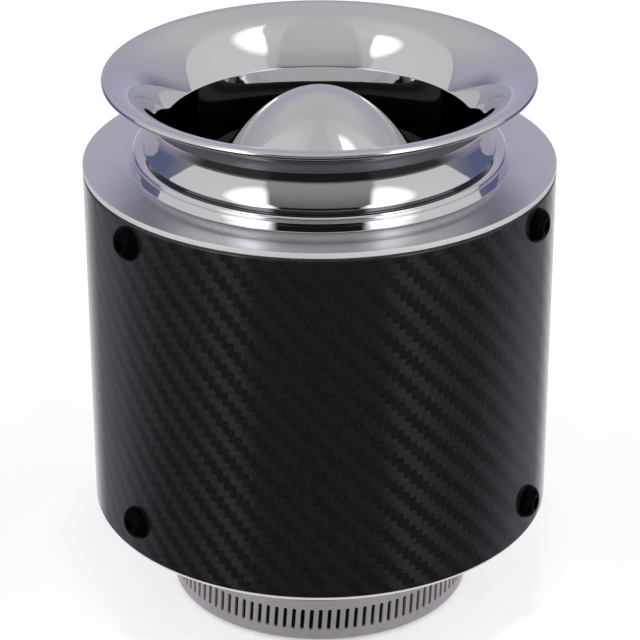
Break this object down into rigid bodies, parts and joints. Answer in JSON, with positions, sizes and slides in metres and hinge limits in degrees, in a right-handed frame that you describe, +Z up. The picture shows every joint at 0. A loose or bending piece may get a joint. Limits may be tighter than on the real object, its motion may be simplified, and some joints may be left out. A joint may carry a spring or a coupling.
{
  "type": "cone air filter",
  "caption": "Enclosed cone air filter: polished trumpet inlet over a bullet nose, gloss carbon tube, and a clamped rubber outlet neck.",
  "frame": {"origin": "centre of the neck's open end, which the filter stands on", "axes": "+Z up along the axis, from the outlet neck to the trumpet's mouth; -Y is the side in the picture; the clamp's housing is at +Y"},
  "size_m": [0.13, 0.1326, 0.1549],
  "materials": {
    "polished_aluminium": "mirror polished",
    "turned_aluminium": "fine turned",
    "carbon_weave": "twill carbon under clear gloss lacquer",
    "black_steel": "black oxide, satin",
    "moulded_rubber": "moulded, matte",
    "filter_gauze": "oiled cotton gauze in wire mesh",
    "clamp_steel": "rolled stainless",
    "plated_steel": "zinc plated"
  },
  "bodies": {
    "root": {"trumpet": "polished_aluminium", "top_lid": "polished_aluminium", "lock_ring": "turned_aluminium", "carbon_shell": "carbon_weave", "base_plate": "turned_aluminium", "upper_screw_left": "black_steel", "upper_screw_right": "black_steel", "upper_screw_rear": "black_steel", "lower_screw_left": "black_steel", "lower_screw_right": "black_steel", "lower_screw_rear": "black_steel", "nose_cap": "polished_aluminium", "filter_top": "moulded_rubber", "filter_media": "filter_gauze", "filter_neck": "moulded_rubber", "clamp_band": "clamp_steel", "clamp_housing": "clamp_steel", "clamp_screw": "plated_steel"}
  },
  "joints": []
}
